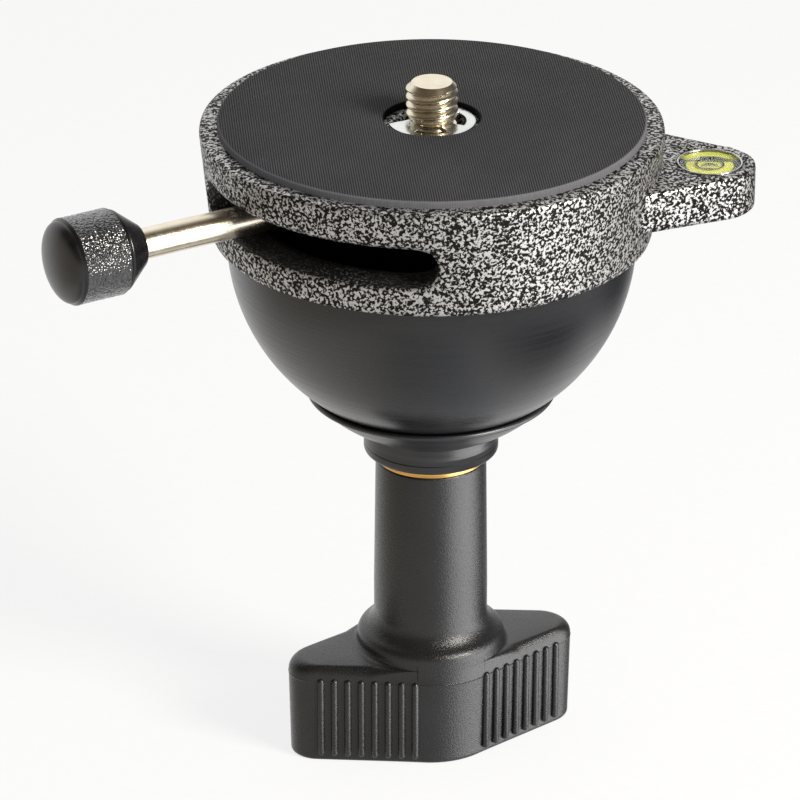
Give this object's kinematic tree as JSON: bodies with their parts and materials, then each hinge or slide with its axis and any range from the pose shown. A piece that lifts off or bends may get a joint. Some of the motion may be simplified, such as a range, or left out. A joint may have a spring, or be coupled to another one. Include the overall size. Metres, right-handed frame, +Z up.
{
  "type": "leveling base",
  "caption": "Half-ball leveling base for a tripod bowl: hammertone head plate with bubble level, lever-driven head screw, clamp dish and long winged grip.",
  "frame": {"origin": "centre of the half ball, where the base tilts in its bowl", "axes": "+Z up along the head screw, +X out through the bubble level"},
  "size_m": [0.1262, 0.0902, 0.1336],
  "materials": {
    "hammertone_casting": "black and silver hammertone paint over cast aluminium",
    "black_ball": "satin black anodised",
    "pad_rubber": "fine stippled friction rubber",
    "steel": "zinc plated steel",
    "nickel": "bright nickel plated steel",
    "level_metal": "turned aluminium",
    "level_fluid": "yellow-green level fluid",
    "level_mark": "black printed ring",
    "level_lens": "clear acrylic",
    "knob_plastic": "glossy black moulding, pebbled band",
    "brass": "turned brass",
    "nylon": "natural nylon",
    "clamp_black": "black anodised, turned",
    "grip_nylon": "black glass-filled nylon, fine grain"
  },
  "bodies": {
    "base": {"half_ball": "black_ball", "top_plate": "hammertone_casting", "friction_pad": "pad_rubber", "plate_screws": "steel", "stud": "steel", "stud_nut": "steel", "stop_ring": "steel", "stop_pin": "steel", "level_cup": "level_metal", "level_fluid": "level_fluid", "level_ring": "level_mark", "level_lens": "level_lens"},
    "lever": {"head_screw": "nickel", "drive_hub": "steel", "hub_pin": "steel", "lever_rod": "nickel", "lever_knob": "knob_plastic", "knob_insert": "brass", "retaining_clip": "nickel", "thrust_washer": "nylon"},
    "clamp": {"clamp_dish": "clamp_black", "collar": "clamp_black", "guide_bush": "brass"},
    "grip": {"brass_washer": "brass", "handle": "grip_nylon", "thread_insert": "brass", "bottom_plug": "grip_nylon"}
  },
  "joints": [
    {"name": "lever_swing", "type": "hinge", "parent": "base", "child": "lever", "pos_m": [0, 0, 0.0115], "axis": [0, 0, 1], "range_deg": [-16, 55]},
    {"name": "clamp_slide", "type": "slide", "parent": "base", "child": "clamp", "axis": [0, 0, -1], "range_m": [0, 0.0075]},
    {"name": "grip_turn", "type": "hinge", "parent": "clamp", "child": "grip", "pos_m": [0, 0, -0.06], "axis": [0, 0, -1], "range_deg": [0, 1800]}
  ],
  "couplings": [
    {"joint": "grip_turn", "follows": "clamp_slide", "rad_per_m": 4188.7}
  ]
}
